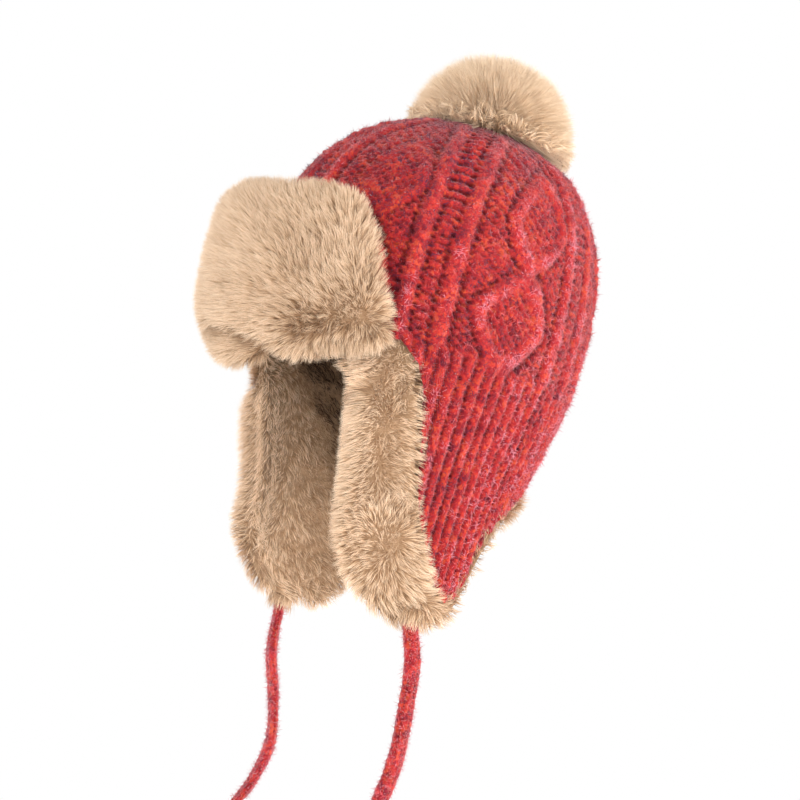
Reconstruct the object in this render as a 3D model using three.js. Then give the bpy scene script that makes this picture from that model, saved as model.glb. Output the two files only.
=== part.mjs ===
// Knitted trapper hat with a fur brim, fur-lined ear flaps, a pompom and two ties.
// Millimetres, +Z up. The origin is the inside of the crown, where the head's top touches.
// The face looks along -Y and the wearer's left is +X. Angles run from the front toward +X.
import * as THREE from 'three';

const KNIT_WALL = 4;
const KNIT_GAP = 0.5;
const FLAP_SLACK = 0.8;
const LINING_WALL = 3.5;
const PILE_WALL = 9;
const PROUD_FUR = 8;
const CABLE_HEIGHT = 3;
const RIB_HEIGHT = 1.8;
const RIB_TOP = -145;
const RIB_COUNT = 78;
const REPEATS = 6;
const REPEAT_TURN = 3;
const RIDGE_ANGLE = 7.5;
const FLAP_FRONT = 43;
const FLAP_ROUND = 9;
const POMPOM_RADIUS = 52.5;
const POMPOM_HEIGHT = 50;
const POMPOM_CENTRE = { x: 0, y: 1, z: 9 };
const POMPOM_LOCK = 4;
const TIE_WIDTH = 10;
const TIE_THICKNESS = 6.5;
const KNOT_LENGTH = 17;
const KNOT_WIDTH = 15;
const KNOT_LOBES = 3;
const TAIL_LENGTH = 14;
const TIE_GAP = 0.3;

// Level sections of the knitted outside, without its relief.
const BODY = [
  { z: 8, halfWidth: 0, halfLength: 0, centreY: -3 },
  { z: 7, halfWidth: 18.5, halfLength: 22, centreY: -3 },
  { z: 3, halfWidth: 34.5, halfLength: 40.5, centreY: -4 },
  { z: -6, halfWidth: 50.5, halfLength: 60, centreY: -6 },
  { z: -20, halfWidth: 65, halfLength: 78.5, centreY: -8.5 },
  { z: -42, halfWidth: 77.5, halfLength: 95.5, centreY: -11 },
  { z: -72, halfWidth: 84.5, halfLength: 106, centreY: -12 },
  { z: -105, halfWidth: 87, halfLength: 109, centreY: -11.5 },
  { z: -140, halfWidth: 87, halfLength: 106.5, centreY: -11.5 },
  { z: -175, halfWidth: 84, halfLength: 99.5, centreY: -12.5 },
  { z: -210, halfWidth: 79.5, halfLength: 89.5, centreY: -11.5 },
  { z: -245, halfWidth: 75, halfLength: 82, centreY: -9 },
  { z: -320, halfWidth: 69, halfLength: 75, centreY: -6 },
];

// Lower edge of the knit, from the front round to the nape.
const KNIT_EDGE = [
  { angle: 0, z: -150 },
  { angle: 45, z: -150 },
  { angle: 58, z: -147 },
  { angle: 66, z: -158 },
  { angle: 70, z: -172 },
  { angle: 74, z: -202 },
  { angle: 78, z: -232 },
  { angle: 82, z: -246 },
  { angle: 90, z: -264 },
  { angle: 98, z: -279 },
  { angle: 106, z: -286 },
  { angle: 110, z: -283 },
  { angle: 114, z: -275 },
  { angle: 118, z: -258 },
  { angle: 122, z: -240 },
  { angle: 130, z: -220 },
  { angle: 150, z: -203 },
  { angle: 180, z: -198 },
];

// Lower edge of the fur that frames the face, the flaps and the nape.
const FUR_EDGE = [
  { angle: 0, z: -168 },
  { angle: 38, z: -168 },
  { angle: 42, z: -174 },
  { angle: 44, z: -190 },
  { angle: 46, z: -255 },
  { angle: 48, z: -272 },
  { angle: 52, z: -286 },
  { angle: 58, z: -296 },
  { angle: 66, z: -301 },
  { angle: 98, z: -301 },
  { angle: 106, z: -297 },
  { angle: 114, z: -286 },
  { angle: 118, z: -271 },
  { angle: 122, z: -253 },
  { angle: 130, z: -233 },
  { angle: 150, z: -215 },
  { angle: 180, z: -210 },
];

// Chain of rounded diamonds in the panels between the ridge pairs.
const RINGS = [
  { z: -115, halfHeight: 31, halfAngle: 14 },
  { z: -52, halfHeight: 31, halfAngle: 13 },
];

// Turned-up brim: one section at the middle of the forehead, one at the temple.
const BRIM = {
  middle: { top: -72, bottom: -188, thickness: 35 },
  temple: { top: -77, bottom: -169, thickness: 33 },
  standOff: 4.6,
  thinning: 0.25,
  squareness: 2.6,
  lock: 2.4,
};

// How far round the brim reaches on each side at a height.
const BRIM_END = [
  { z: -58, angle: 31 },
  { z: -68, angle: 36 },
  { z: -79, angle: 41 },
  { z: -111, angle: 49 },
  { z: -147, angle: 58 },
  { z: -190, angle: 57 },
];

// Angles of the columns of the lining, closer where its edge is steep.
const LINING_COLUMNS = [
  { from: 0, to: 36, step: 9 },
  { from: 36, to: 54, step: 2 },
  { from: 54, to: 130, step: 4 },
  { from: 130, to: 180, step: 10 },
];

// Ties: where each leaves its flap and the way it hangs, as run to the rear and drop.
const TIE_RIGHT = {
  x: -72,
  y: -7,
  way: [
    { run: 0, drop: 0 },
    { run: 3, drop: 30 },
    { run: 11, drop: 54 },
    { run: 18, drop: 84 },
    { run: 15, drop: 108 },
    { run: 6, drop: 132 },
  ],
};
const TIE_LEFT = {
  x: 74,
  y: -7,
  way: [
    { run: 0, drop: 0 },
    { run: 8, drop: 22 },
    { run: 11, drop: 43 },
    { run: 14, drop: 80 },
    { run: 12, drop: 104 },
    { run: 8, drop: 130 },
  ],
};
const TIE_TOP = -304.6;
const TIE_HEADING = 57;

const CROWN_ROWS = [6.6, 3.2, -2, -8, -15, -24, -35, -48, -62, -78, -94, -110];
const CROWN_ROWS_UNDER_POMPOM = 3;
const FLAP_ROWS = [0.2, 0.4, 0.6, 0.8, 1];
const WALL_ROWS = [3.2, -15, -45, -78, -110];
const WALL_FLAP_ROWS = [0.5, 1];
const COLUMNS = 2 * RIB_COUNT;

const radians = (degrees) => degrees * Math.PI / 180;
const clamp01 = (value) => Math.min(1, Math.max(0, value));
const mix = (a, b, share) => a + (b - a) * share;

function smooth(from, to, value) {
  const share = clamp01((value - from) / (to - from));
  return share * share * (3 - 2 * share);
}

function fromTable(table, angle) {
  const turn = Math.abs(((angle + 180) % 360 + 360) % 360 - 180);
  for (let i = 1; i < table.length; i += 1) {
    if (turn <= table[i].angle) {
      const share = (turn - table[i - 1].angle) / (table[i].angle - table[i - 1].angle);
      return mix(table[i - 1].z, table[i].z, share);
    }
  }
  return table[table.length - 1].z;
}

function spline(a, b, c, d, u) {
  const linear = (c - a) * u;
  const square = (2 * a - 5 * b + 4 * c - d) * u * u;
  const cubic = (3 * b - a - 3 * c + d) * u * u * u;
  return 0.5 * (2 * b + linear + square + cubic);
}

function section(place) {
  const last = BODY.length - 1;
  const index = Math.min(last - 1, Math.max(0, Math.floor(place)));
  const u = place - index;
  const rowAt = (i) => BODY[Math.min(last, Math.max(0, i))];
  const column = (name) => {
    const mirrored = name === 'halfWidth' || name === 'halfLength' ? -1 : 1;
    const before = index === 0 ? mirrored * BODY[1][name] : rowAt(index - 1)[name];
    const after = index + 2 > last
      ? 2 * rowAt(last)[name] - rowAt(last - 1)[name]
      : rowAt(index + 2)[name];
    return spline(before, rowAt(index)[name], rowAt(index + 1)[name], after, u);
  };
  return {
    z: column('z'),
    halfWidth: column('halfWidth'),
    halfLength: column('halfLength'),
    centreY: column('centreY'),
  };
}

function placeOf(z) {
  let low = 0;
  let high = BODY.length - 1;
  for (let i = 0; i < 40; i += 1) {
    const middle = (low + high) / 2;
    if (section(middle).z > z) {
      low = middle;
    } else {
      high = middle;
    }
  }
  return (low + high) / 2;
}

function bare(angle, place) {
  const at = section(Math.max(0, place));
  const turn = radians(angle);
  const x = at.halfWidth * Math.sin(turn);
  const y = at.centreY - at.halfLength * Math.cos(turn);
  return new THREE.Vector3(x, y, at.z);
}

function onBody(angle, z, out) {
  const place = Math.max(0.02, placeOf(z));
  const point = bare(angle, place);
  const down = bare(angle, place + 0.01).sub(bare(angle, place - 0.01));
  const round = bare(angle + 0.5, place).sub(bare(angle - 0.5, place));
  const normal = down.cross(round).normalize();
  return point.addScaledVector(normal, out);
}

function crownHeight(x, y) {
  let low = 0;
  let high = BODY.length - 1;
  for (let i = 0; i < 40; i += 1) {
    const middle = (low + high) / 2;
    const at = section(middle);
    const reach = Math.hypot(x / at.halfWidth, (y - at.centreY) / at.halfLength);
    if (reach > 1) {
      low = middle;
    } else {
      high = middle;
    }
  }
  return section((low + high) / 2).z;
}

const bump = (distance, halfWidth) => {
  const share = clamp01(1 - Math.abs(distance) / halfWidth);
  return share * share * (3 - 2 * share);
};

function relief(angle, z) {
  const pitch = 360 / REPEATS;
  const turned = ((angle - REPEAT_TURN) % pitch + pitch) % pitch;
  const fromRidge = Math.min(turned, pitch - turned);
  const fromPanel = pitch / 2 - fromRidge;
  let height = bump(fromRidge - RIDGE_ANGLE, 3.6);
  for (const ring of RINGS) {
    const across = Math.pow(fromPanel / ring.halfAngle, 1.7);
    const along = Math.pow(Math.abs(z - ring.z) / ring.halfHeight, 1.7);
    const reach = Math.pow(across + along, 1 / 1.7);
    height = Math.max(height, bump(reach - 0.88, 0.3));
  }
  const cables = CABLE_HEIGHT * height * smooth(-2, -22, z);
  const rib = RIB_HEIGHT * (0.5 + 0.5 * Math.cos(radians(angle * RIB_COUNT)));
  return mix(rib, cables, smooth(RIB_TOP - 4, RIB_TOP + 4, z));
}

function addTriangles(index, upper, lower) {
  const a = upper.length;
  const b = lower.length;
  const count = Math.max(a, b);
  if (a === 1 || b === 1) {
    for (let i = 0; i < count; i += 1) {
      const next = (i + 1) % count;
      if (a === 1) {
        index.push(upper[0], lower[i], lower[next]);
      } else {
        index.push(upper[i], lower[0], upper[next]);
      }
    }
  } else if (a === b) {
    for (let i = 0; i < a; i += 1) {
      const next = (i + 1) % a;
      index.push(upper[i], lower[i], upper[next]);
      index.push(upper[next], lower[i], lower[next]);
    }
  } else if (a === 2 * b) {
    for (let i = 0; i < b; i += 1) {
      const next = (i + 1) % b;
      index.push(upper[2 * i], lower[i], upper[2 * i + 1]);
      index.push(upper[2 * i + 1], lower[i], lower[next]);
      index.push(upper[2 * i + 1], lower[next], upper[(2 * i + 2) % a]);
    }
  } else {
    for (let i = 0; i < a; i += 1) {
      const next = (i + 1) % a;
      index.push(upper[i], lower[2 * i], lower[2 * i + 1]);
      index.push(upper[i], lower[2 * i + 1], upper[next]);
      index.push(upper[next], lower[2 * i + 1], lower[(2 * i + 2) % b]);
    }
  }
}

// A closed skin from rings of points, each ring stitched to the next.
// The first and the last ring are one point each.
function skin(rings) {
  const positions = [];
  const index = [];
  const numbered = rings.map((ring) => ring.map((point) => {
    positions.push(point.x, point.y, point.z);
    return positions.length / 3 - 1;
  }));
  for (let i = 1; i < numbered.length; i += 1) {
    addTriangles(index, numbered[i - 1], numbered[i]);
  }
  const geometry = new THREE.BufferGeometry();
  geometry.setAttribute('position', new THREE.Float32BufferAttribute(positions, 3));
  geometry.setIndex(index);
  geometry.computeVertexNormals();
  return geometry;
}

function evenAngles(count) {
  return Array.from({ length: count }, (unused, i) => 360 * i / count);
}

function liningAngles() {
  const half = [];
  for (const span of LINING_COLUMNS) {
    for (let angle = span.from; angle < span.to - 0.01; angle += span.step) {
      half.push(angle);
    }
  }
  const back = half.slice(1).map((angle) => 360 - angle).reverse();
  return [...half, 180, ...back];
}

const rowDown = (angle, share, from, table) => mix(from, fromTable(table, angle), share);

function knitCrown() {
  const wide = evenAngles(COLUMNS);
  const half = evenAngles(COLUMNS / 2);
  const lowest = CROWN_ROWS[CROWN_ROWS.length - 1];
  const outer = (angle, z) => onBody(angle, z, relief(angle, z));
  const inner = (angle, z) => onBody(angle, z, -KNIT_WALL);
  const rings = [[bare(0, 0)]];
  CROWN_ROWS.forEach((z, row) => {
    const angles = row < CROWN_ROWS_UNDER_POMPOM ? half : wide;
    rings.push(angles.map((angle) => outer(angle, z)));
  });
  for (const share of FLAP_ROWS) {
    rings.push(wide.map((angle) => outer(angle, rowDown(angle, share, lowest, KNIT_EDGE))));
  }
  for (const share of [...WALL_FLAP_ROWS].reverse()) {
    rings.push(half.map((angle) => inner(angle, rowDown(angle, share, lowest, KNIT_EDGE))));
  }
  for (const z of [...WALL_ROWS].reverse()) {
    rings.push(half.map((angle) => inner(angle, z)));
  }
  rings.push([bare(0, 0).setZ(BODY[0].z - KNIT_WALL)]);
  return skin(rings);
}

function turnFromFront(angle) {
  return Math.abs(((angle + 180) % 360 + 360) % 360 - 180);
}

// How far the fur stands out below the knit: nothing behind the brim, full on the flaps.
function furOut(angle, z) {
  const besideBrim = smooth(60, 67, turnFromFront(angle));
  const belowBrim = smooth(-178, -200, z);
  return PROUD_FUR * Math.max(besideBrim, belowBrim);
}

// Rounds the front edge of each flap: 0 at the edge, 1 where the fur is at its full depth.
function frontEase(angle, z) {
  const share = clamp01((turnFromFront(angle) - FLAP_FRONT) / FLAP_ROUND);
  const rounded = Math.sqrt(share * (2 - share));
  return mix(1, rounded, smooth(-170, -185, z));
}

function liningWall(z) {
  return mix(PILE_WALL, LINING_WALL, smooth(-135, -70, z));
}

// How deep the lining's outside lies under the knit's: a little looser on the flaps.
function liningBack(z) {
  return KNIT_WALL + KNIT_GAP + FLAP_SLACK * smooth(-112, -135, z);
}

function furLining() {
  const angles = liningAngles();
  const back = KNIT_WALL + KNIT_GAP;
  const onBack = (angle, z, out) => onBody(angle, z, out - liningBack(z));
  const lowest = WALL_ROWS[WALL_ROWS.length - 1];
  const rings = [[bare(0, 0).setZ(BODY[0].z - back)]];
  const ring = (rule) => rings.push(angles.map((angle, i) => rule(angle, i)));
  for (const z of WALL_ROWS) {
    ring((angle) => onBack(angle, z, 0));
  }
  for (const share of WALL_FLAP_ROWS) {
    ring((angle) => onBack(angle, rowDown(angle, share, lowest, KNIT_EDGE), 0));
  }
  const knit = (angle) => fromTable(KNIT_EDGE, angle);
  const lock = (i) => (i % 2 === 0 ? 1 : -1);
  const edge = (angle, i) => {
    const fringe = Math.min(2.5, 0.12 * (knit(angle) - fromTable(FUR_EDGE, angle)));
    return fromTable(FUR_EDGE, angle) - fringe * lock(i);
  };
  const steepness = (angle) => Math.abs(knit(angle + 1) - knit(angle - 1)) / 2;
  const shoulder = (angle) => knit(angle) - 2 - 0.7 * steepness(angle);
  const drop = (angle, i, share) => mix(shoulder(angle), edge(angle, i), share);
  const proud = (angle, i, share, z) => {
    const lift = Math.sqrt(Math.max(0, 1 - Math.pow(2 * share - 1, 4)));
    const full = mix(-liningBack(z) - 0.5 * PILE_WALL, furOut(angle, z), frontEase(angle, z));
    const ridge = full > 2 ? 1.1 * lock(i) * lift : 0;
    return mix(-liningBack(z), full, lift) + ridge;
  };
  ring((angle) => onBack(angle, shoulder(angle), 0));
  for (const share of [0.04, 0.18, 0.45, 0.72, 0.9]) {
    ring((angle, i) => {
      const z = drop(angle, i, share);
      return onBody(angle, z, proud(angle, i, share, z));
    });
  }
  ring((angle, i) => onBody(angle, edge(angle, i), -back - 0.35 * PILE_WALL));
  ring((angle, i) => {
    const z = mix(edge(angle, i), knit(angle), 0.12);
    return onBody(angle, z, -back - PILE_WALL * mix(0.5, 1, frontEase(angle, z)));
  });
  const wall = (angle, z) => onBody(angle, z, -back - liningWall(z));
  for (const share of [...WALL_FLAP_ROWS].reverse()) {
    ring((angle, i) => {
      const z = rowDown(angle, share, lowest, KNIT_EDGE);
      const lump = 0.8 * lock(i);
      return onBody(angle, z, -back - liningWall(z) + lump);
    });
  }
  for (const z of [...WALL_ROWS].reverse()) {
    ring((angle) => wall(angle, z));
  }
  rings.push([bare(0, 0).setZ(BODY[0].z - back - LINING_WALL)]);
  return skin(rings);
}

function brimShare(across) {
  return smooth(0.05, 0.95, Math.abs(across));
}

function brimReach(z) {
  for (let i = 1; i < BRIM_END.length; i += 1) {
    if (z >= BRIM_END[i].z || i === BRIM_END.length - 1) {
      const before = BRIM_END[i - 1];
      const share = clamp01((z - before.z) / (BRIM_END[i].z - before.z));
      return mix(before.angle, BRIM_END[i].angle, share);
    }
  }
  return BRIM_END[0].angle;
}

function brimPoint(across, turn, size) {
  const share = brimShare(across);
  const middle = BRIM.middle;
  const temple = BRIM.temple;
  const top = mix(middle.top, temple.top, share);
  const bottom = mix(middle.bottom, temple.bottom, share);
  const thick = mix(middle.thickness, temple.thickness, share);
  const power = 2 / BRIM.squareness;
  const cosine = Math.cos(turn);
  const sine = Math.sin(turn);
  const outward = Math.sign(cosine) * Math.pow(Math.abs(cosine), power);
  const upward = Math.sign(sine) * Math.pow(Math.abs(sine), power);
  const z = (top + bottom) / 2 + upward * size.high * (top - bottom) / 2;
  const fall = smooth(top - 55, bottom, z);
  const depth = thick * (1 - BRIM.thinning * fall);
  const out = BRIM.standOff + depth / 2 * (1 + outward * size.thick);
  return onBody(across * brimReach(z), z, out);
}

function furBrim() {
  const sides = 14;
  const steps = 42;
  const rings = [];
  for (let i = 0; i <= steps; i += 1) {
    const across = mix(-0.985, 0.985, i / steps);
    const end = clamp01((Math.abs(across) - 0.84) / 0.16);
    const round = Math.sqrt(1 - 0.86 * end * end);
    const ridge = i % 2 === 0 ? BRIM.lock : -BRIM.lock;
    const ring = [];
    for (let k = 0; k < sides; k += 1) {
      const turn = 2 * Math.PI * (k + 0.5) / sides;
      const facing = clamp01(Math.cos(turn) * 1.4 + 0.5 - 0.7 * Math.sin(turn));
      const size = { thick: round, high: mix(1, 0.8, end * end) };
      const point = brimPoint(across, turn, size);
      const centre = brimPoint(across, Math.PI / 2, { thick: 0, high: 0 });
      const grown = 1 + ridge * facing * round / 60;
      ring.push(point.sub(centre).multiplyScalar(grown).add(centre));
    }
    rings.push(ring);
  }
  const ends = [-1, 1].map((across) => [brimPoint(across, Math.PI / 2, { thick: 0, high: 0 })]);
  return skin([ends[0], ...rings, ends[1]]);
}

function pompom() {
  const columns = 34;
  const rows = [0.16, 0.32, 0.48, 0.64, 0.8, 0.96, 1.12, 1.28, 1.44];
  const rings = [[new THREE.Vector3(POMPOM_CENTRE.x, POMPOM_CENTRE.y, POMPOM_CENTRE.z + POMPOM_HEIGHT)]];
  rows.forEach((polar, row) => {
    const ring = [];
    for (let i = 0; i < columns; i += 1) {
      const turn = 2 * Math.PI * (i + 0.5 * (row % 2)) / columns;
      const lock = (i + row) % 2 === 0 ? 0 : -POMPOM_LOCK;
      const reach = POMPOM_RADIUS + lock;
      const x = POMPOM_CENTRE.x + reach * Math.sin(polar) * Math.sin(turn);
      const y = POMPOM_CENTRE.y - reach * Math.sin(polar) * Math.cos(turn);
      const z = POMPOM_CENTRE.z + (POMPOM_HEIGHT + lock) * Math.cos(polar);
      ring.push(new THREE.Vector3(x, y, z));
    }
    rings.push(ring);
  });
  const under = [
    { reach: 0.99, lift: 2.2 },
    { reach: 0.8, lift: 1.4 },
    { reach: 0.4, lift: 1.4 },
  ];
  under.forEach((step, row) => {
    const ring = [];
    for (let i = 0; i < columns; i += 1) {
      const turn = 2 * Math.PI * (i + 0.5 * ((rows.length + row) % 2)) / columns;
      const lock = row === 0 && i % 2 === 0 ? -POMPOM_LOCK : 0;
      const reach = step.reach * (POMPOM_RADIUS + lock);
      const x = POMPOM_CENTRE.x + reach * Math.sin(turn);
      const y = POMPOM_CENTRE.y - reach * Math.cos(turn);
      ring.push(new THREE.Vector3(x, y, crownHeight(x, y) + step.lift));
    }
    rings.push(ring);
  });
  const foot = crownHeight(POMPOM_CENTRE.x, POMPOM_CENTRE.y) + 0.8;
  rings.push([new THREE.Vector3(POMPOM_CENTRE.x, POMPOM_CENTRE.y, foot)]);
  return skin(rings);
}

function tie(plan, width, thickness) {
  const heading = radians(TIE_HEADING);
  const points = plan.way.map((step) => new THREE.Vector3(
    plan.x + step.run * Math.cos(heading),
    plan.y + step.run * Math.sin(heading),
    TIE_TOP - step.drop,
  ));
  const outline = new THREE.Shape();
  const sides = 10;
  for (let i = 0; i < sides; i += 1) {
    const turn = 2 * Math.PI * (i + 0.5) / sides;
    const x = width / 2 * Math.cos(turn);
    const y = thickness / 2 * Math.sin(turn);
    if (i === 0) {
      outline.moveTo(x, y);
    } else {
      outline.lineTo(x, y);
    }
  }
  outline.closePath();
  const route = new THREE.CatmullRomCurve3(points, false, 'centripetal');
  return new THREE.ExtrudeGeometry(outline, { steps: 9, curveSegments: 1, extrudePath: route });
}

// A plain overhand knot with a short tail below it, at the end of a tie.
function knot(plan) {
  const heading = radians(TIE_HEADING);
  const place = (step) => new THREE.Vector3(
    plan.x + step.run * Math.cos(heading),
    plan.y + step.run * Math.sin(heading),
    TIE_TOP - step.drop,
  );
  const end = place(plan.way[plan.way.length - 1]);
  const before = place(plan.way[plan.way.length - 2]);
  const down = end.clone().sub(before).normalize();
  const across = new THREE.Vector3(0, 1, 0).cross(down).normalize();
  const deep = down.clone().cross(across).normalize();
  const start = end.clone().addScaledVector(down, TIE_GAP + 0.9);
  const sides = 12;
  const shape = [
    { along: 0, reach: 0.52, lobes: 0 },
    { along: 0.14, reach: 0.84, lobes: 0.5 },
    { along: 0.34, reach: 1, lobes: 1 },
    { along: 0.58, reach: 0.98, lobes: 1 },
    { along: 0.8, reach: 0.8, lobes: 0.5 },
    { along: 1, reach: 0.5, lobes: 0 },
    { along: 1.35, reach: 0.52, lobes: 0 },
    { along: 1 + TAIL_LENGTH / KNOT_LENGTH, reach: 0.56, lobes: 0 },
  ];
  const rings = [[start.clone()]];
  shape.forEach((row) => {
    const centre = start.clone().addScaledVector(down, row.along * KNOT_LENGTH);
    const ring = [];
    for (let i = 0; i < sides; i += 1) {
      const turn = -2 * Math.PI * i / sides;
      const lobe = 1 + 0.1 * row.lobes * Math.cos(KNOT_LOBES * turn + 5 * row.along);
      const reach = KNOT_WIDTH / 2 * row.reach * lobe;
      const point = centre.clone().addScaledVector(across, reach * 0.86 * Math.cos(turn));
      ring.push(point.addScaledVector(deep, reach * Math.sin(turn)));
    }
    rings.push(ring);
  });
  const last = shape[shape.length - 1].along * KNOT_LENGTH + 0.5;
  rings.push([start.clone().addScaledVector(down, last)]);
  return skin(rings);
}

function piece(name, geometry, material) {
  const mesh = new THREE.Mesh(geometry, material);
  mesh.name = name;
  return mesh;
}

function material(name, colour, roughness) {
  return new THREE.MeshStandardMaterial({ name, color: colour, roughness, metalness: 0 });
}

const knitYarn = material('knit_yarn', 0xac4448, 0.95);
const creamFur = material('cream_fur', 0xd8b892, 0.9);
const pompomFur = material('pompom_fur', 0xd9bd9c, 0.9);
const tieYarn = material('tie_yarn', 0xb04a50, 0.95);

const hat = new THREE.Group();
hat.name = 'fleece_lined_beanie';
hat.add(piece('knit_crown', knitCrown(), knitYarn));
hat.add(piece('fur_lining', furLining(), creamFur));
hat.add(piece('fur_brim', furBrim(), creamFur));
hat.add(piece('pompom', pompom(), pompomFur));
hat.add(piece('tie_left', tie(TIE_LEFT, TIE_THICKNESS, TIE_WIDTH), tieYarn));
hat.add(piece('tie_right', tie(TIE_RIGHT, TIE_WIDTH, TIE_THICKNESS), tieYarn));
hat.add(piece('tie_left_knot', knot(TIE_LEFT), tieYarn));
hat.add(piece('tie_right_knot', knot(TIE_RIGHT), tieYarn));

export default hat;
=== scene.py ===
import math

import bpy
import numpy as np
from mathutils import Matrix, kdtree


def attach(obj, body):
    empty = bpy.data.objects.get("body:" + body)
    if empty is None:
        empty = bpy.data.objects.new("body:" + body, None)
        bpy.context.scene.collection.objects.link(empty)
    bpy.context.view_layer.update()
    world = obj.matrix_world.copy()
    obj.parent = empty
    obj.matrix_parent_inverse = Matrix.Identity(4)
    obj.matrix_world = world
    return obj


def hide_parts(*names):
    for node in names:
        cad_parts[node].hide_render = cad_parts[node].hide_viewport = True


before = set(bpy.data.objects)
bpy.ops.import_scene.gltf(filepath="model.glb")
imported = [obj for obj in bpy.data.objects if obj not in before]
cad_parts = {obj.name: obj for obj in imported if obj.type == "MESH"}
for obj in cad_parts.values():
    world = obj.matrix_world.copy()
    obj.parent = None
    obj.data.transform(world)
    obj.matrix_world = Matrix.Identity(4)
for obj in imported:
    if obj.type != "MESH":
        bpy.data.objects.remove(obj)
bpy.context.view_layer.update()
MM = 0.001
SHARE = 1.0

# Camera
AZIMUTH, ELEVATION, ROLL = 57.0, -9.0, 16.0
DISTANCE = 2200.0
MM_PER_PIXEL = 0.62
TARGET = np.array([0.0, -5.0, -140.0])
TARGET_PIXEL = (418.0, 358.0)
PIXELS = 800.0
SENSOR = 36.0


def new_object(name, data):
    made = bpy.data.objects.new(name, data)
    bpy.context.scene.collection.objects.link(made)
    return made


def pose(right, up, back, at):
    return Matrix([[right[i], up[i], back[i], at[i]] for i in range(3)] + [[0, 0, 0, 1]])


def make_camera():
    az, el, roll = (math.radians(v) for v in (AZIMUTH, ELEVATION, ROLL))
    back = np.array([math.sin(az) * math.cos(el), -math.cos(az) * math.cos(el), math.sin(el)])
    right = np.array([math.cos(az), math.sin(az), 0.0])
    up = np.cross(back, right)
    image_right = math.cos(roll) * right + math.sin(roll) * up
    image_up = -math.sin(roll) * right + math.cos(roll) * up
    data = bpy.data.cameras.new("camera")
    data.sensor_width = SENSOR
    data.lens = SENSOR * DISTANCE / (PIXELS * MM_PER_PIXEL)
    data.shift_x = (PIXELS / 2 - TARGET_PIXEL[0]) / PIXELS
    data.shift_y = (TARGET_PIXEL[1] - PIXELS / 2) / PIXELS
    data.clip_end = 50.0
    camera = new_object("camera", data)
    camera.matrix_world = pose(image_right, image_up, back, (TARGET + back * DISTANCE) * MM)
    bpy.context.scene.camera = camera


make_camera()

# The CAD's tables
BODY = np.array([  # z, half width, half length, centre y
    [8, 0, 0, -3],
    [7, 18.5, 22, -3],
    [3, 34.5, 40.5, -4],
    [-6, 50.5, 60, -6],
    [-20, 65, 78.5, -8.5],
    [-42, 77.5, 95.5, -11],
    [-72, 84.5, 106, -12],
    [-105, 87, 109, -11.5],
    [-140, 87, 106.5, -11.5],
    [-175, 84, 99.5, -12.5],
    [-210, 79.5, 89.5, -11.5],
    [-245, 75, 82, -9],
    [-320, 69, 75, -6],
], float)
KNIT_EDGE = np.array([  # angle, z
    [0, -150], [45, -150], [58, -147], [66, -158], [70, -172], [74, -202], [78, -232],
    [82, -246], [90, -264], [98, -279], [106, -286], [110, -283], [114, -275], [118, -258],
    [122, -240], [130, -220], [150, -203], [180, -198],
], float)
FUR_EDGE = np.array([  # angle, z
    [0, -168], [38, -168], [42, -174], [44, -190], [46, -255], [48, -272], [52, -286],
    [58, -296], [66, -301], [98, -301], [106, -297], [114, -286], [118, -271], [122, -253],
    [130, -233], [150, -215], [180, -210],
], float)
RINGS = ((-115.0, 34.0, 25.5), (-52.0, 34.0, 21.5))  # z, half height, half width
JOIN_Z = -110.0  # where the cables' piece meets the ribs' piece
BRIM_END = np.array([[-58, 31], [-68, 36], [-79, 41], [-111, 49], [-147, 58], [-190, 57]], float)
BRIM_TOP, BRIM_BOTTOM, BRIM_DEEP = (-72.0, -77.0), (-188.0, -169.0), (35.0, 33.0)
BRIM_STAND_OFF = 4.6
POMPOM_CENTRE = np.array([0.0, 1.0, 9.0])
POMPOM_REACH = np.array([52.5, 52.5, 50.0])
RIB_COUNT = 78
RIB_TOP = -145.0
TIE_TOP = -304.6
TIE_HEADING = 57.0
TIES = {  # x, y, then run to the rear and drop
    "left": ((74, -7), [(0, 0), (8, 22), (11, 43), (14, 80), (12, 104), (8, 130)]),
    "right": ((-72, -7), [(0, 0), (3, 30), (11, 54), (18, 84), (15, 108), (6, 132)]),
}
TIE_WIDE_WAY = {"left": (0.25, 1.0, 0.0), "right": (1.0, -0.35, 0.0)}
TIE_WIDE, TIE_FLAT, TIE_SIDES = 10.2, 6.6, 30
KNOT_LONG, KNOT_WIDE = 17, 7.5
HAIRS = {"tie_fuzz": 4200, "knit_fuzz_crown": 90000, "knit_fuzz_ribs": 75000, "brim": 58000, "pompom": 46000,
         "pompom_tufts": 9000, "lining_left": 38000, "lining_right": 35500, "tie_tuft": 600}
LOCKS = {"brim": 5000, "pompom": 1500, "pompom_tufts": 420, "lining": 3600, "tie_tuft": 70}

LAST = len(BODY) - 1
RNG = np.random.default_rng(20)
LATTICE = np.random.default_rng(5).random((32, 32, 32))
TONE_RANGE = (0.002, 0.998)


def unit(v):
    return v / np.maximum(np.linalg.norm(v, axis=-1, keepdims=True), 1e-9)


def smooth(low, high, value):
    share = np.clip((value - low) / (high - low), 0, 1)
    return share * share * (3 - 2 * share)


def mix(a, b, share):
    return a + (b - a) * share


def hump(x, power=0.8):
    return np.maximum(0.0, 1 - np.asarray(x) ** 2) ** power


def wave(turns):
    return 0.5 + 0.5 * np.cos(2 * np.pi * turns)


def turns_of(sides):
    return 2 * np.pi * np.arange(sides) / sides


def lengths(line):
    """Length along a line of points, at each point."""
    return np.r_[0, np.cumsum(np.linalg.norm(np.diff(line, axis=0), axis=1))]


def many(kind, table=HAIRS):
    return int(table[kind] * SHARE)


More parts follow.
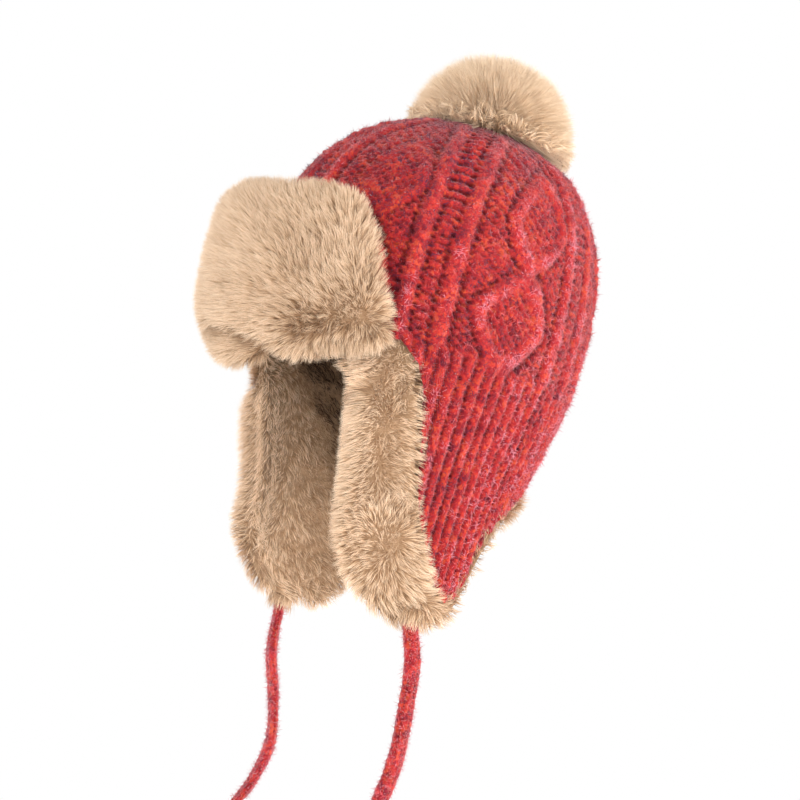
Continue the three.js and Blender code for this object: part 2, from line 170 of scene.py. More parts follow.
def noise(points, size, seed=0):
    """Smooth noise from -1 to 1 with features of about size mm."""
    q = points / size + 3.71 * seed
    cell = np.floor(q).astype(int)
    f = q - cell
    f = f * f * (3 - 2 * f)
    total = 0.0
    for dx in (0, 1):
        for dy in (0, 1):
            for dz in (0, 1):
                w = (f[..., 0] if dx else 1 - f[..., 0]) * (f[..., 1] if dy else 1 - f[..., 1])
                w = w * (f[..., 2] if dz else 1 - f[..., 2])
                i, j, k = (cell[..., 0] + dx) & 31, (cell[..., 1] + dy) & 31, (cell[..., 2] + dz) & 31
                total = total + w * LATTICE[i, j, k]
    return total * 2 - 1


def section(place):
    """The body's row at a place in its table, on a smooth curve through the rows."""
    place = np.clip(np.asarray(place, float), 0, LAST)
    i = np.clip(np.floor(place).astype(int), 0, LAST - 1)
    u = (place - i)[..., None]
    first = BODY[1] * np.array([1, -1, -1, 1])
    before = np.where((i == 0)[..., None], first, BODY[np.maximum(i - 1, 0)])
    beyond = 2 * BODY[LAST] - BODY[LAST - 1]
    after = np.where((i + 2 > LAST)[..., None], beyond, BODY[np.minimum(i + 2, LAST)])
    b, c = BODY[i], BODY[i + 1]
    square = 2 * before - 5 * b + 4 * c - after
    cubic = 3 * b - before - 3 * c + after
    return 0.5 * (2 * b + (c - before) * u + square * u * u + cubic * u ** 3)


PLACES = np.linspace(0, LAST, 6001)
PLACE_Z = np.minimum.accumulate(section(PLACES)[:, 0])


def place_of(z):
    return np.interp(-np.asarray(z, float), -PLACE_Z, PLACES)


def bare(angle, place):
    """Point of the body without relief."""
    row = section(place)
    turn = np.radians(angle)
    x, y = row[..., 1] * np.sin(turn), row[..., 3] - row[..., 2] * np.cos(turn)
    return np.stack([x, y, row[..., 0]], -1)


def body_frame(angle, place):
    """Point, downward and roundward tangents and outward normal of the knitted outside."""
    angle, place = np.broadcast_arrays(np.asarray(angle, float), np.asarray(place, float))
    place = np.maximum(place, 0.02)
    down = unit(bare(angle, place + 0.01) - bare(angle, place - 0.01))
    around = unit(bare(angle + 0.5, place) - bare(angle - 0.5, place))
    return bare(angle, place), down, around, unit(np.cross(down, around))


def on_body(angle, z, out):
    point, _, _, normal = body_frame(angle, place_of(z))
    return point + normal * np.asarray(out, float)[..., None]


def from_front(angle):
    return np.abs(np.mod(np.asarray(angle, float) + 180, 360) - 180)


def edge_at(table, angle):
    return np.interp(from_front(angle), table[:, 0], table[:, 1])


# Meshes from arrays
def make_mesh(name, points, loops, starts, uv, relief=None, normals=None):
    mesh = bpy.data.meshes.new(name)
    mesh.vertices.add(len(points))
    mesh.vertices.foreach_set("co", (points * MM).astype(np.float32).ravel())
    mesh.loops.add(len(loops))
    mesh.loops.foreach_set("vertex_index", loops.astype(np.int32))
    mesh.polygons.add(len(starts))
    mesh.polygons.foreach_set("loop_start", starts.astype(np.int32))
    mesh.polygons.foreach_set("use_smooth", np.ones(len(starts), bool))
    layer = mesh.uv_layers.new(name="OFBake")
    layer.data.foreach_set("uv", uv.astype(np.float32).ravel())
    if relief is not None:
        attribute = mesh.attributes.new("relief", "FLOAT", "POINT")
        attribute.data.foreach_set("value", relief.astype(np.float32).ravel())
    mesh.update(calc_edges=True)
    mesh.validate()
    if normals is not None:
        mesh.normals_split_custom_set_from_vertices(unit(normals))
    return mesh


def add_piece(name, mesh, material, slot, *nodes):
    piece = new_object(name, mesh)
    piece.data.materials.append(material)
    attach(piece, "root")
    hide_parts(*nodes)
    return piece


def grid_piece(name, grid, material, slot, node, relief=None):
    """A piece of quads over a grid of points, whose last column joins the first."""
    rows, columns = grid.shape[:2]
    i, j = np.meshgrid(np.arange(rows - 1), np.arange(columns), indexing="ij")
    k = (j + 1) % columns
    quads = np.stack([i * columns + j, (i + 1) * columns + j, (i + 1) * columns + k, i * columns + k], -1)
    u0, u1 = j / columns, (j + 1) / columns
    v0, v1 = 1 - i / (rows - 1), 1 - (i + 1) / (rows - 1)
    uv = np.stack([u0, v0, u0, v1, u1, v1, u1, v0], -1)
    starts = np.arange(quads.size // 4) * 4
    mesh = make_mesh(name, grid.reshape(-1, 3), quads.ravel(), starts, uv, relief)
    return add_piece(name, mesh, material, slot, node)


def cells_of(grid):
    """The four corners of each cell of a grid, whose last column joins the first."""
    a, b = grid[:-1], grid[1:]
    return a, b, np.roll(b, -1, axis=1), np.roll(a, -1, axis=1)


def scatter(grid, fields, count, weight=None):
    """Random points over a grid, even by area times weight, with their normals and fields."""
    a, b, c, d = cells_of(grid)
    cross = np.cross(c - a, d - b)
    area = np.linalg.norm(cross, axis=-1)
    if weight is not None:
        area = area * (sum(cells_of(weight)) / 4)
    area = area.ravel()
    pick = RNG.choice(area.size, count, p=area / area.sum())
    s, t = RNG.random(count)[:, None], RNG.random(count)[:, None]

    def blend(values):
        pa, pb, pc, pd = (x.reshape(-1, values.shape[-1])[pick] for x in cells_of(values))
        return (pa * (1 - s) + pb * s) * (1 - t) + (pd * (1 - s) + pc * s) * t

    return blend(grid), unit(cross.reshape(-1, 3)[pick]), [blend(f[..., None])[:, 0] for f in fields]


def rand_dirs(count):
    return unit(RNG.normal(size=(count, 3)))


def tree_of(points):
    tree = kdtree.KDTree(len(points))
    for i, point in enumerate(points):
        tree.insert(point, i)
    tree.balance()
    return tree


def gather(root, tip, clumps, strength):
    """Pulls tips toward the tip of the nearest of a few leading hairs, as fur does."""
    count = len(root)
    lead = RNG.choice(count, min(clumps, count), replace=False)
    tree = tree_of(root[lead])
    nearest = lead[np.array([tree.find(p)[1] for p in root])]
    aim = tip[nearest] + 0.22 * (root - root[nearest])
    pull = np.broadcast_to(strength, count)[:, None] * RNG.uniform(0.6, 1.2, (count, 1)) * (aim - tip)
    return pull, nearest


def trimmed(root, run, backing, reach):
    """Shortens hairs whose tips stand further from the backing than the pile is deep."""
    tree = tree_of(backing)
    share = np.ones(len(root))
    for _ in range(2):
        far = np.array([tree.find(p)[2] for p in root + run * share[:, None]])
        share = share * np.clip(reach / np.maximum(far, 1e-6), 0.3, 1)
    return share


def side_of(face, normal):
    return np.sign((face * normal).sum(-1, keepdims=True) + 1e-9)


def flattened(way, normal):
    return unit(way - normal * (way * normal).sum(-1, keepdims=True))


def strands(name, root, first, last, length, width, normal, shade, material, slot, node,
            clumps=0, strength=0.0, lit=0.5, backing=None, reach=None):
    """Hairs as tapered ribbons of a quad and a triangle, bent from the first direction to the last.

    The OFBake map holds the hair's tone across and the place along it upward.
    """
    n = len(root)
    if backing is not None:
        length = length * trimmed(root, length[:, None] * 0.5 * (first + last), backing, reach)
    length, width = length[:, None], width[:, None]
    middle = root + length * (0.5 * first + 0.125 * (last - first))
    tip = root + length * 0.5 * (first + last)
    if clumps:
        pull, nearest = gather(root, tip, clumps, strength)
        tip = tip + pull
        middle = middle + 0.35 * pull
        shade = 0.6 * shade + 0.4 * shade[nearest]
    along = unit(tip - root)
    side = unit(np.cross(along, normal) + 1e-6)
    roll = RNG.normal(0, 0.5, n)[:, None]
    side = unit(side * np.cos(roll) + np.cross(along, side) * np.sin(roll))
    half = side * width / 2
    lit = np.broadcast_to(lit, n)[:, None]
    points = np.stack([root - half, root + half, middle + half * 0.8, middle - half * 0.8, tip], 1)
    loops = (5 * np.arange(n)[:, None] + np.array([0, 1, 2, 3, 3, 2, 4])).ravel()
    starts = (7 * np.arange(n)[:, None] + np.array([0, 4])).ravel()
    u = np.clip(shade, *TONE_RANGE)[:, None]
    v = np.array([0.01, 0.01, 0.5, 0.5, 0.5, 0.5, 0.99])
    uv = np.stack([np.broadcast_to(u, (n, 7)), np.broadcast_to(v, (n, 7))], -1)
    face = unit(np.cross(side, along))
    light = unit(face * (1 - lit) + normal * lit * side_of(face, normal) + 0.25 * RNG.normal(size=(n, 3)))
    mesh = make_mesh(name, points.reshape(-1, 3), loops, starts, uv, None, np.repeat(light, 5, axis=0))
    return add_piece(name, mesh, material, slot, node)


def fibres(name, root, way, length, width, normal, shade, material, slot, node):
    """Short straight wool fibres, a narrow triangle each."""
    n = len(root)
    side = unit(np.cross(way, normal) + 1e-6) * width[:, None] / 2
    points = np.stack([root - side, root + side, root + way * length[:, None]], 1)
    uv = np.stack([np.repeat(np.clip(shade, *TONE_RANGE), 3), np.tile([0.01, 0.01, 0.99], n)], -1)
    face = unit(np.cross(side, way))
    light = unit(face + 0.5 * normal * side_of(face, normal))
    mesh = make_mesh(name, points.reshape(-1, 3), np.arange(3 * n), 3 * np.arange(n), uv, None,
                     np.repeat(light, 3, axis=0))
    return add_piece(name, mesh, material, slot, node)


# Materials
class Nodes:
    def __init__(self, name):
        self.material = bpy.data.materials.new(name)
        self.material.use_nodes = True
        self.tree = self.material.node_tree
        self.shader = self.tree.nodes["Principled BSDF"]

    def add(self, kind, inputs=None, **settings):
        node = self.tree.nodes.new(kind)
        for key, value in settings.items():
            setattr(node, key, value)
        for key, value in (inputs or {}).items():
            if isinstance(value, bpy.types.NodeSocket):
                self.tree.links.new(value, node.inputs[key])
            else:
                node.inputs[key].default_value = value
        return node

    def math(self, operation, a, b=0.0, clamp=False):
        return self.add("ShaderNodeMath", {0: a, 1: b}, operation=operation, use_clamp=clamp).outputs[0]

    def ramp(self, factor, stops):
        node = self.add("ShaderNodeValToRGB", {"Fac": factor})
        elements = node.color_ramp.elements
        while len(elements) < len(stops):
            elements.new(0.5)
        for element, (position, colour) in zip(elements, stops):
            element.position = position
            element.color = (*colour, 1)
        return node.outputs[0]

    def multiply(self, a, b):
        inputs = {"Factor": 1.0, 6: a, 7: b}
        return self.add("ShaderNodeMix", inputs, data_type="RGBA", blend_type="MULTIPLY").outputs[2]

    def noise(self, place, scale, detail, output=0):
        inputs = {"Vector": place, "Scale": scale, "Detail": detail}
        return self.add("ShaderNodeTexNoise", inputs).outputs[output]

    def bump(self, height):
        return self.add("ShaderNodeBump", {"Height": height, "Strength": 0.8, "Distance": 0.001}).outputs[0]

    def strand(self):
        """A hair's tone and the place along it."""
        uv = self.add("ShaderNodeUVMap", uv_map="OFBake").outputs[0]
        return self.add("ShaderNodeSeparateXYZ", {0: uv}).outputs[:2]

    def finish(self, colour, roughness, sheen, sheen_tint, specular, normal=None):
        values = {"Roughness": roughness, "Sheen Weight": sheen, "Sheen Roughness": 0.45,
                  "Sheen Tint": (*sheen_tint, 1), "Specular IOR Level": specular}
        for key, value in values.items():
            self.shader.inputs[key].default_value = value
        self.tree.links.new(colour, self.shader.inputs["Base Color"])
        if normal is not None:
            self.tree.links.new(normal, self.shader.inputs["Normal"])
        return self.material


YARN = [
    (0.0, (0.050, 0.012, 0.040)),
    (0.14, (0.100, 0.012, 0.026)),
    (0.28, (0.20, 0.014, 0.022)),
    (0.46, (0.34, 0.018, 0.022)),
    (0.64, (0.48, 0.032, 0.026)),
    (0.78, (0.55, 0.075, 0.028)),
    (0.90, (0.52, 0.075, 0.10)),
    (1.0, (0.26, 0.10, 0.045)),
]


FUZZ_STOPS = [
    (0.0, (0.045, 0.012, 0.050)),
    (0.10, (0.085, 0.012, 0.034)),
    (0.26, (0.19, 0.014, 0.022)),
    (0.45, (0.40, 0.026, 0.028)),
    (0.58, (0.58, 0.058, 0.036)),
    (0.70, (0.60, 0.095, 0.08)),
    (0.82, (0.60, 0.14, 0.18)),
    (0.93, (0.66, 0.25, 0.30)),
    (1.0, (0.46, 0.25, 0.18)),
]
FUR_STOPS = [  # from root to tip
    (0.0, (0.27, 0.145, 0.07)),
    (0.28, (0.52, 0.32, 0.18)),
    (0.62, (0.79, 0.56, 0.37)),
    (1.0, (0.92, 0.73, 0.55)),
]
POM_STOPS = [
    (0.0, (0.26, 0.14, 0.065)),
    (0.22, (0.66, 0.46, 0.28)),
    (0.5, (0.88, 0.67, 0.46)),
    (1.0, (0.93, 0.765, 0.585)),
]
FUR_TONES = [  # a hair's tone, multiplied in: its own tone at random, with painted light and painted shade
    (0.0, (0.09, 0.06, 0.045)),
    (0.12, (0.48, 0.41, 0.35)),
    (0.2, (0.70, 0.64, 0.58)),
    (0.4, (0.91, 0.88, 0.85)),
    (0.75, (1.0, 1.0, 1.0)),
    (1.0, (1.14, 1.16, 1.18)),
]


def knit_material(name, lift, sheen=0.5):
    """Mottled yarn, with painted shade where the relief attribute is low, in the knit's hollows; lift sets
    the painted highlight on its high places.
    """
    m = Nodes(name)
    place = m.add("ShaderNodeTexCoord").outputs["Object"]
    stir = {0: m.noise(place, 520.0, 2.0, 1), "Scale": 0.0026}
    stir = m.add("ShaderNodeVectorMath", stir, operation="SCALE").outputs[0]
    stirred = m.add("ShaderNodeVectorMath", {0: place, 1: stir}, operation="ADD").outputs[0]
    cells = m.add("ShaderNodeTexVoronoi", {"Vector": stirred, "Scale": 430.0, "Randomness": 1.0})
    pick = m.add("ShaderNodeSeparateColor", {0: cells.outputs["Color"]}).outputs[0]
    value = m.add("ShaderNodeMath", {0: pick, 1: 0.42, 2: -0.24}, operation="MULTIPLY_ADD").outputs[0]
    value = m.math("ADD", value, m.math("MULTIPLY", m.noise(place, 85.0, 3.0), 0.72))
    value = m.math("ADD", value, m.math("MULTIPLY", m.noise(place, 700.0, 2.0), 0.36), clamp=True)
    relief = m.add("ShaderNodeAttribute", attribute_name="relief").outputs["Fac"]
    # Painted shade in the hollows, where relief is low, and painted highlight on the high places
    high = (1.34 * lift, 1.50 * lift ** 2, 1.58 * lift ** 2.4)
    stops = [(0.0, (0.16, 0.10, 0.15)), (0.22, (0.36, 0.30, 0.33)), (0.48, (0.90, 0.84, 0.86)), (1.0, high)]
    colour = m.multiply(m.ramp(value, YARN), m.ramp(relief, stops))
    height = m.math("ADD", m.math("MULTIPLY", cells.outputs["Distance"], -0.8), m.noise(place, 1100.0, 3.0))
    return m.finish(colour, 0.95, sheen, (1.0, 0.5, 0.54), 0.08, m.bump(height))


def fuzz_material(name):
    m = Nodes(name)
    tone, _ = m.strand()
    return m.finish(m.ramp(tone, FUZZ_STOPS), 0.8, 0.9, (1.0, 0.66, 0.72), 0.2)


def fur_material(name, stops):
    m = Nodes(name)
    tone, along = m.strand()
    colour = m.multiply(m.ramp(along, stops), m.ramp(tone, FUR_TONES))
    return m.finish(colour, 0.7, 0.1, (1.0, 0.9, 0.8), 0.2)


def pile_material(name, dark, light):
    """Short roots seen between the hairs."""
    m = Nodes(name)
    place = m.add("ShaderNodeTexCoord").outputs["Object"]
    hair = m.noise(place, 1300.0, 2.0)
    value = m.math("ADD", m.math("MULTIPLY", m.noise(place, 160.0, 4.0), 0.6), m.math("MULTIPLY", hair, 0.4))
    return m.finish(m.ramp(value, [(0.3, dark), (0.7, light)]), 0.9, 0.3, (1.0, 0.9, 0.8), 0.1, m.bump(hair))


KNIT = knit_material("brushed_knit", 0.9)
TIE_KNIT = knit_material("tie_knit", 1.25, 0.9)
FUZZ = fuzz_material("yarn_fuzz")
FUR = fur_material("cream_fur", FUR_STOPS)
POM_FUR = fur_material("pompom_fur", POM_STOPS)
PILE = pile_material("fur_roots", (0.27, 0.16, 0.085), (0.50, 0.32, 0.19))

# Ties
def tie_route(side):
    """The centripetal curve through the tie's points, in mm."""
    (x, y), way = TIES[side]
    turn = math.radians(TIE_HEADING)
    cos, sin = math.cos(turn), math.sin(turn)
    knots = np.array([[x + run * cos, y + run * sin, TIE_TOP - drop] for run, drop in way])
    full = np.vstack([2 * knots[0] - knots[1], knots, 2 * knots[-1] - knots[-2]])
    line = []
    for k in range(1, len(full) - 2):
        p = full[k - 1:k + 3]
        dt = np.maximum(np.linalg.norm(np.diff(p, axis=0), axis=1) ** 0.5, 1e-4)
        t1 = ((p[1] - p[0]) / dt[0] - (p[2] - p[0]) / (dt[0] + dt[1]) + (p[2] - p[1]) / dt[1]) * dt[1]
        t2 = ((p[2] - p[1]) / dt[1] - (p[3] - p[1]) / (dt[1] + dt[2]) + (p[3] - p[2]) / dt[2]) * dt[1]
        s = np.linspace(0, 1, 24, endpoint=False)[:, None]
        line.append(p[1] + t1 * s + (-3 * p[1] + 3 * p[2] - 2 * t1 - t2) * s ** 2
                    + (2 * p[1] - 2 * p[2] + t1 + t2) * s ** 3)
    return np.vstack(line + [knots[-1:]])


def even(line, pitch):
    steps = lengths(line)
    places = np.linspace(0, steps[-1], max(4, int(round(steps[-1] / pitch)) + 1))
    return np.stack([np.interp(places, steps, line[:, k]) for k in range(3)], -1)


def cord_relief(turn, length):
    columns = 6
    phase = columns * turn / (2 * np.pi)
    lean = np.abs((phase % 1) - 0.5)
    stitch = 0.24 * np.cos(2 * np.pi * (length / 3.4 + lean * 1.1))
    return stitch - 0.4 * smooth(0.34, 0.5, lean)


def cord_grid(line, wide_way):
    """Points and outward directions round a flat knitted cord along a line."""
    along = unit(np.gradient(line, axis=0))
    deep = unit(np.cross(along, wide_way))
    across = unit(np.cross(deep, along))
    turn = turns_of(TIE_SIDES)
    cos, sin = np.cos(turn), np.sin(turn)
    a, b = TIE_WIDE / 2, TIE_FLAT / 2
    ring = across[:, None] * (cos * a)[None, :, None] - deep[:, None] * (sin * b)[None, :, None]
    out = unit(across[:, None] * (cos / a)[None, :, None] - deep[:, None] * (sin / b)[None, :, None])
    swell = cord_relief(turn[None, :], lengths(line)[:, None])
    return line[:, None] + ring + out * swell[..., None], out


def capped(grid):
    """Adds a point at each end, so that the tube is closed."""
    ends = [np.broadcast_to(grid[i].mean(0), grid[i].shape) for i in (0, -1)]
    near = [mix(ends[0], grid[0], 0.6), mix(ends[1], grid[-1], 0.6)]
    return np.concatenate([ends[0][None], near[0][None], grid, near[1][None], ends[1][None]])


def make_ties():
    for side, spin in (("left", 0), ("right", 1)):
        line = tie_route(side)
        length = lengths(line)[-1]
        grid, out = cord_grid(even(line, 1.1), np.array(TIE_WIDE_WAY[side]))
        wobble = noise(grid, 9.0, 3 + spin) * 0.35 + noise(grid, 2.2, 5 + spin) * 0.25
        grid = grid + out * wobble[..., None]
        stitches = cord_relief(turns_of(TIE_SIDES), np.linspace(0, length, len(grid))[:, None])
        # relief: the cord's height, which the tie material turns into painted shade in its hollows and
        # painted highlight on its high places
        relief = np.clip(0.55 + 0.5 * np.pad(wobble + stitches, ((2, 2), (0, 0)), "edge"), 0, 1)
        piece = grid_piece(f"tie_{side}", capped(grid), TIE_KNIT, "tie_yarn", f"tie_{side}", relief)
        knot = make_knot(side, line)
        hair = tie_fuzz(side, grid)


def make_knot(side, line):
    end = line[-1]
    down = unit(line[-1] - line[-4])
    across = unit(np.cross([0, 1, 0], down))
    deep = np.cross(down, across)
    start = end + down * 1.2
    rows = []
    places = np.linspace(-0.26, 1.85, 64)
    reach = np.interp(places, [-.26, -.22, -.04, .05, .14, .34, .58, .8, 1, 1.1, 1.35, 1.7, 1.8, 1.85],
                      [.02, .46, .50, .62, .84, 1.0, .98, .8, .5, .47, .52, .56, .45, .02])
    turn = turns_of(36)
    for place, size in zip(places, reach):
        lobes = hump((place - 0.46) / 0.5)
        r = KNOT_WIDE * size * (1 + 0.13 * lobes * np.cos(3 * turn + 7 * place))
        r = r + 0.4 * np.cos(2 * np.pi * (place * KNOT_LONG / 3.2 + 0.5 * np.abs(np.sin(3 * turn))))
        centre = start + down * place * KNOT_LONG
        rows.append(centre + across * (0.86 * r * np.cos(turn))[:, None] - deep * (r * np.sin(turn))[:, None])
    grid = np.array(rows)
    grid[0], grid[-1] = grid[0].mean(0), grid[-1].mean(0)
    relief = np.clip(0.55 + 0.4 * noise(grid, 2.5, 9), 0, 1)
    return grid_piece(f"tie_{side}_knot", grid, TIE_KNIT, "tie_yarn", f"tie_{side}_knot", relief)


def tie_fuzz(side, grid):
    count = many("tie_fuzz")
    root, normal, _ = scatter(grid, [], count)
    lay = rand_dirs(count)
    first = unit(lay + 0.45 * normal)
    last = unit(lay + rand_dirs(count) * 0.8 + 0.1 * normal)
    length = RNG.uniform(1.6, 4.2, count)
    width = RNG.uniform(0.14, 0.32, count)
    return strands(f"tie_{side}_fuzz", root - 0.2 * normal, first, last, length, width, normal,
                   RNG.uniform(0.6, 1, count), FUZZ, "tie_yarn", f"tie_{side}")


make_ties()

# Knit
CABLE_STEP, CABLE_TURN = 60, 3  # degrees
RIDGE_AT, RIDGE_HALF = 11.9, 5.5  # from the middle of a pair of ridges
RIDGE_HIGH, RIB_HIGH = 3.6, 3.2
ROPE_PITCH = 6.0
SEAM_AT = 119.2  # degrees from the front
FRONT_SINK = 2.6  # how much lower the crown lies at the front
HALO_SHARE = 0.26
ARC = lengths(bare(np.full(len(PLACES), 70.0), PLACES))


def knit_height(angle, z, points):
    """Height of the knit's relief in mm, with and without the yarn's grain.

    Six pairs of cable ridges with a ladder between, diamond rings, purl ground and ribs below.
    """
    place = place_of(z)
    row = section(place)
    arc = np.interp(place, PLACES, ARC)
    per_degree = (row[..., 1] + row[..., 2]) / 2 * math.pi / 180
    wander = noise(points, 34.0, 1) * 1.3 + noise(points, 9.0, 2) * 0.5
    a = angle + wander / np.maximum(per_degree, 0.5)
    s = arc + 1.2 * noise(points, 24.0, 3)
    turned = np.mod(a - CABLE_TURN, CABLE_STEP)
    from_ridge = np.minimum(turned, CABLE_STEP - turned) * per_degree
    rear = np.where(np.mod(angle, 360) < 180, 1.0, -1.0)
    lean = 5.5 * np.clip((z + 112) / 60, 0, 1) * rear
    panel = np.abs(np.mod(a - lean - CABLE_TURN, CABLE_STEP) - CABLE_STEP / 2) * per_degree
    beside = (from_ridge - RIDGE_AT) / RIDGE_HALF
    ridge = hump(beside, 1.0) * 0.95
    trough = np.exp(-((np.abs(beside) - 1.2) / 0.3) ** 2)
    nearest = np.full(np.shape(a), 9.0)
    for centre, high, wide in RINGS:
        reach = ((panel / wide) ** 1.3 + (np.abs(z + 1.5 * wander - centre) / high) ** 1.3) ** (1 / 1.3)
        clear = 1 - 0.6 * smooth(52, 40, from_front(angle)) * (centre > -80)
        ridge = np.maximum(ridge, hump((reach - 0.82) / 0.24, 1.0) * 0.95 * clear)
        trough = np.maximum(trough, np.exp(-((reach - 1.10) / 0.065) ** 2) * clear)
        trough = np.maximum(trough, 0.2 * np.exp(-((reach - 0.56) / 0.06) ** 2) * clear)
        nearest = np.minimum(nearest, reach)
    rope = wave(s / ROPE_PITCH + from_ridge / 9)
    ridge = ridge * (0.8 + 0.2 * rope)
    bar = wave(s / ROPE_PITCH + 0.16 * noise(points, 7.0, 10)) ** 0.9
    fade = smooth(-95, -45, z) * (0.75 + 0.5 * noise(points, 14.0, 13))
    purled = wave(s / 5.2 + 0.5 * np.floor(from_ridge / 3.8))
    ladder = mix(purled * 1.9 - 0.3, bar * 3.0 - 0.7, np.clip(fade, 0.12, 1))
    seed = (0.5 + 0.5 * np.cos(2 * np.pi * s / 5.6) * np.cos(2 * np.pi * panel / 6.0)) * 2.2 - 0.4
    inside = smooth(0.70, 0.56, nearest)
    purl = wave(s / 4.9 + 0.5 * np.floor(a * per_degree / 4.2) + 0.1 * noise(points, 5.0, 14)) * 1.6 - 0.2
    ground = mix(mix(purl, seed, inside), ladder, smooth(9.2, 7.4, from_ridge))
    cables = np.maximum(RIDGE_HIGH * ridge, (0.5 + ground) * (1 - 0.85 * ridge)) - 1.1 * trough * (1 - ridge)
    cables = cables * smooth(5, -12, z)
    column = 0.5 + 0.5 * np.cos(np.radians(RIB_COUNT * (a - 0.3 * wander / np.maximum(per_degree, 0.5))))
    bars = (0.5 + 0.5 * np.cos(2 * np.pi * s / 3.9)) * 1.1 * (1 - column)
    ribs = RIB_HIGH * column ** 0.9 + bars - 0.4 + 0.25 * np.cos(2 * np.pi * s / 3.4) * column
    seam = 1.9 * hump((from_front(angle) - SEAM_AT) / 1.5)
    band = smooth(RIB_TOP + 7, RIB_TOP - 5, z + 2.4 * wander)
    height = mix(cables, ribs - seam, band)
    grain = 0.7 * noise(points, 2.9, 4) + 0.4 * noise(points, 1.3, 5) + 0.5 * noise(points, 6.5, 6)
    return height + grain, height


def knit_piece(name, angles, zs):
    """zs has a row for each level and a column for each angle."""
    angle = np.broadcast_to(angles[None, :], zs.shape)
    point, _, _, normal = body_frame(angle, place_of(zs))
    height, shape = knit_height(angle, zs, point)
    sunk = FRONT_SINK * smooth(80, 30, from_front(angle)) * smooth(-85, -50, zs) * smooth(4, -14, zs)
    grid = point + normal * (height - sunk)[..., None]
    # relief: the knit's height, which the knit material turns into painted shade in the hollows and painted
    # highlight on the ridges
    relief = np.clip(0.20 + (shape + 0.9 * (height - shape)) / 4.2, 0, 1)
    grid_piece(name, grid, KNIT, "knit_yarn", "knit_crown", relief)
    return grid, relief


def by_arc(z_from, z_to, pitch):
    """Levels at even lengths down the body's side."""
    places = np.linspace(place_of(z_from), place_of(z_to), 900)
    arc = lengths(bare(np.full(900, 90.0), places))
    want = np.linspace(0, arc[-1], int(arc[-1] / pitch) + 2)
    return section(np.interp(want, arc, places))[..., 0]


def make_knit():
    angles = np.arange(0, 360 - 0.01, 360 / (RIB_COUNT * 5))
    levels = by_arc(6.4, JOIN_Z, 1.4)
    upper = knit_piece("knit_crown_cables", angles, levels[:, None] + 0 * angles)
    near = np.arange(52, 308 + 0.01, 360 / (RIB_COUNT * 6))
    around = np.concatenate([near, np.linspace(308, 412, 26)[1:-1]])
    share = np.linspace(0, 1, int(172 / (1.3)))[:, None]
    low = mix(JOIN_Z, edge_at(KNIT_EDGE, around)[None, :] - 0.5, share)
    lower = knit_piece("knit_crown_ribs", around, low)
    knit_fuzz("knit_fuzz_crown", *upper)
    knit_fuzz("knit_fuzz_ribs", *lower)


def knit_fuzz(name, grid, relief):
    """Fibres brushed out of the yarn; the halo is the few that stand off it, finer and paler."""
    count = many(name)
    root, normal, (high,) = scatter(grid, [relief], count, 0.16 + relief ** 1.3)
    halo = RNG.random(count) < HALO_SHARE
    way = rand_dirs(count)
    rise = np.where(halo, 0.45, 0.16) - np.where(halo, 0.2, 0.6) * (way * normal).sum(-1)
    way = unit(way + rise[:, None] * normal)
    low = smooth(0.30, 0.62, high)
    length = RNG.uniform(1.8, 5.0, count) * (0.45 + 0.55 * low)
    width = RNG.uniform(0.30, 0.62, count) * np.where(halo, 0.27, 1)
    fleck = 0.55 * noise(root, 3.6, 8) + 0.40 * noise(root, 12.0, 9) + 0.14 * RNG.normal(size=count)
    # The fleck's last terms make the fibres a little lighter lower down the body.
    fleck = fleck + 0.26 * noise(root, 42.0, 16) + 0.12 * smooth(-20, 40, -root[:, 2] - 60) - 0.06
    turn = from_front(np.degrees(np.arctan2(root[:, 0], -root[:, 1])))
    # crown: painted light, the fibres darker at the crown's front and lighter toward the rear
    crown = smooth(95, 45, turn) * smooth(-75, -45, root[:, 2]) - 1.5 * smooth(78, 112, turn)
    # Painted shade on fibres in the hollows, where relief is low, and painted highlight on the ridges
    shade = np.clip(0.20 + 0.86 * fleck + 0.95 * (high - 0.5) - 0.12 * crown, 0, 0.89)
    shade = np.where(halo, np.clip(0.76 + 0.35 * fleck, 0.2, 0.90), shade)
    fibres(name, root - 0.3 * normal, way, length, width, normal, shade, FUZZ, "knit_yarn", "knit_crown")


make_knit()

# Brim
BRIM_PARTING = np.array([[31, -158], [38, -152], [46, -143]], float)  # angle, z
BRIM_INSET = 11.0  # from the fur's form to its backing
BRIM_SHARE = 0.90  # of the fur's width, for the backing
BRIM_HAIR = (12.0, 17.0)


def brim_points(across, turn, thick, high):
    """Angle, z and distance from the bare knit, for points round the brim's backing."""
    share = smooth(0.05, 0.95, np.abs(across))
    top = mix(*BRIM_TOP, share) - BRIM_INSET
    bottom = mix(*BRIM_BOTTOM, share) + BRIM_INSET
    deep = mix(*BRIM_DEEP, share) - BRIM_INSET
    power = 2 / 2.6
    cos, sin = np.cos(turn), np.sin(turn)
    outward = np.sign(cos) * np.abs(cos) ** power
    upward = np.sign(sin) * np.abs(sin) ** power
    z = (top + bottom) / 2 + upward * high * (top - bottom) / 2
    deep = deep * (1 - 0.25 * smooth(top - 55, bottom, z))
    out = BRIM_STAND_OFF + deep / 2 * (1 + outward * thick)
    return across * np.interp(-z, -BRIM_END[:, 0], BRIM_END[:, 1]), z, out


def nearest_on(line, points):
    """Nearest point of a line of points, for each point, in the unrolled plane."""
    a, b = line[:-1], line[1:]
    run = b - a
    t = ((points[:, None] - a) * run).sum(-1) / np.maximum((run * run).sum(-1), 1e-9)
    t = np.clip(t, 0, 1)
    at = a + run * t[..., None]
    far = np.linalg.norm(points[:, None] - at, axis=-1)
    best = far.argmin(1)
    pick = np.arange(len(points))
    return at[pick, best], far[pick, best]


